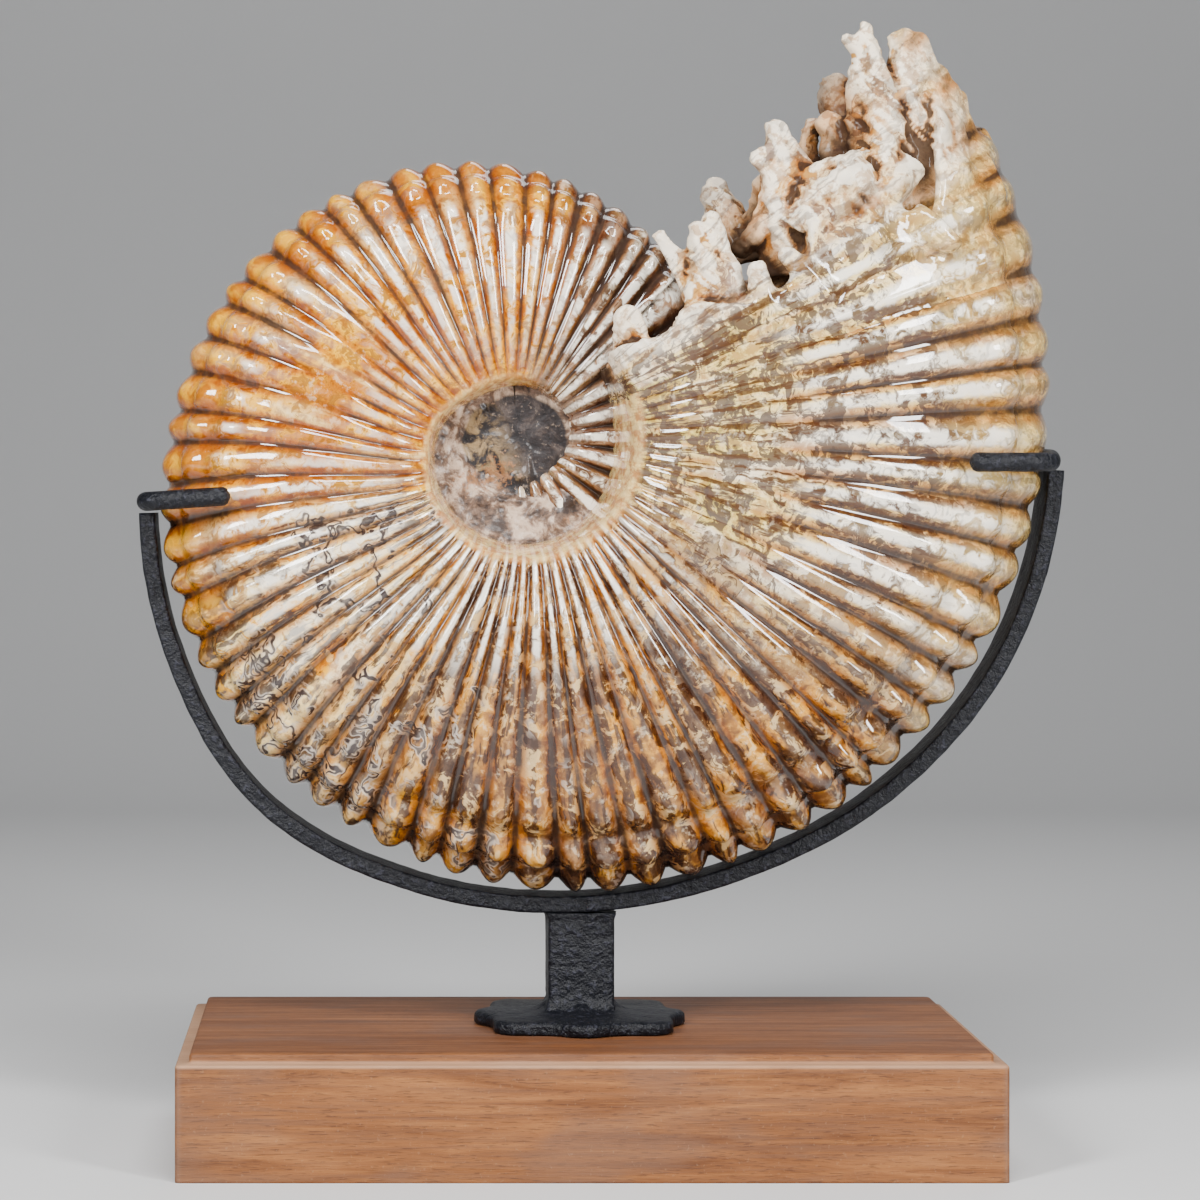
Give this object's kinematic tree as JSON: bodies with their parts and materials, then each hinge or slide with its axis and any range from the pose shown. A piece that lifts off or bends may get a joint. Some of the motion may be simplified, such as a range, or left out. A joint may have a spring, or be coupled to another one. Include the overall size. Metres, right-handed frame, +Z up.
{
  "type": "fossil douvilleiceras ammonite",
  "caption": "Large polished ammonite with dense ribs and a jagged broken end, standing upright in a black steel cradle on a stepped wooden plinth.",
  "frame": {"origin": "middle of the underside of the wooden plinth", "axes": "+Z up, -Y towards the viewer and the front face of the coil, +X towards the broken end's side"},
  "size_m": [0.3558, 0.165, 0.4327],
  "materials": {
    "fossil": "polished",
    "black_steel": "textured satin",
    "wood": "stained, satin"
  },
  "bodies": {
    "root": {"plinth": "wood", "base_plate": "black_steel", "post": "black_steel", "cradle_bar": "black_steel", "left_fork": "black_steel", "right_fork": "black_steel", "ammonite": "fossil"}
  },
  "joints": []
}
